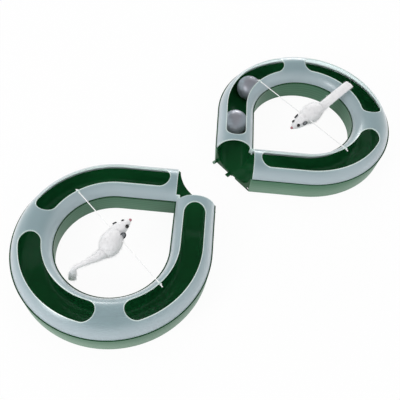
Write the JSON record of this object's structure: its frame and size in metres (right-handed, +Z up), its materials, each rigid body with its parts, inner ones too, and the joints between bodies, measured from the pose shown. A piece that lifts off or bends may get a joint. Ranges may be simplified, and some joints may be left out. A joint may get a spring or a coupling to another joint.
{
  "type": "pet toy",
  "caption": "Two teardrop track loops docked tip to tip, with domed slotted covers, rolling balls inside, and a furry mouse hung on elastic in each loop",
  "frame": {"origin": "on the table, midway between the two loops", "axes": "+X runs from the near loop to the far loop, +Z is up"},
  "size_m": [0.7146, 0.3, 0.0647],
  "materials": {
    "green_shell": "glossy moulded",
    "frosted_cover": "frosted translucent",
    "pearl_ball": "pearl",
    "elastic_cord": "braided",
    "white_fur": "short plush fur",
    "ear_fabric": "felt",
    "black_bead": "polished",
    "pink_nose": "flock"
  },
  "bodies": {
    "loop_a": {"loop_a_base": "green_shell", "loop_a_cover": "frosted_cover", "elastic_a": "elastic_cord"},
    "loop_b": {"loop_b_base": "green_shell", "loop_b_cover": "frosted_cover", "elastic_b": "elastic_cord"},
    "ball_1": {"ball_1_lower": "pearl_ball", "ball_1_upper": "pearl_ball"},
    "ball_2": {"ball_2_lower": "pearl_ball", "ball_2_upper": "pearl_ball"},
    "mouse_a": {"mouse_a_trunk": "white_fur", "mouse_a_head": "white_fur", "mouse_a_ears": "ear_fabric", "mouse_a_eyes": "black_bead", "mouse_a_nose": "pink_nose", "mouse_a_tail": "white_fur"},
    "mouse_b": {"mouse_b_trunk": "white_fur", "mouse_b_head": "white_fur", "mouse_b_ears": "ear_fabric", "mouse_b_eyes": "black_bead", "mouse_b_nose": "pink_nose", "mouse_b_tail": "white_fur"}
  },
  "joints": [
    {"name": "dock", "type": "slide", "parent": "loop_a", "child": "loop_b", "axis": [-1, 0, 0], "range_m": [0, 0.0807]},
    {"name": "ball_1_roll", "type": "hinge", "parent": "loop_b", "child": "ball_1", "pos_m": [0.20738, 0, 0], "axis": [0, 0, 1], "range_deg": [-233, 13]},
    {"name": "ball_2_roll", "type": "slide", "parent": "loop_b", "child": "ball_2", "axis": [-0.7071, -0.7071, 0], "range_m": [-0.019, 0.098]},
    {"name": "mouse_a_swing", "type": "hinge", "parent": "loop_a", "child": "mouse_a", "pos_m": [-0.19738, 0, 0.051], "axis": [0, 1, 0], "range_deg": [0, 205]},
    {"name": "mouse_b_swing", "type": "hinge", "parent": "loop_b", "child": "mouse_b", "pos_m": [0.19738, 0, 0.051], "axis": [0, -1, 0], "range_deg": [0, 165]}
  ]
}
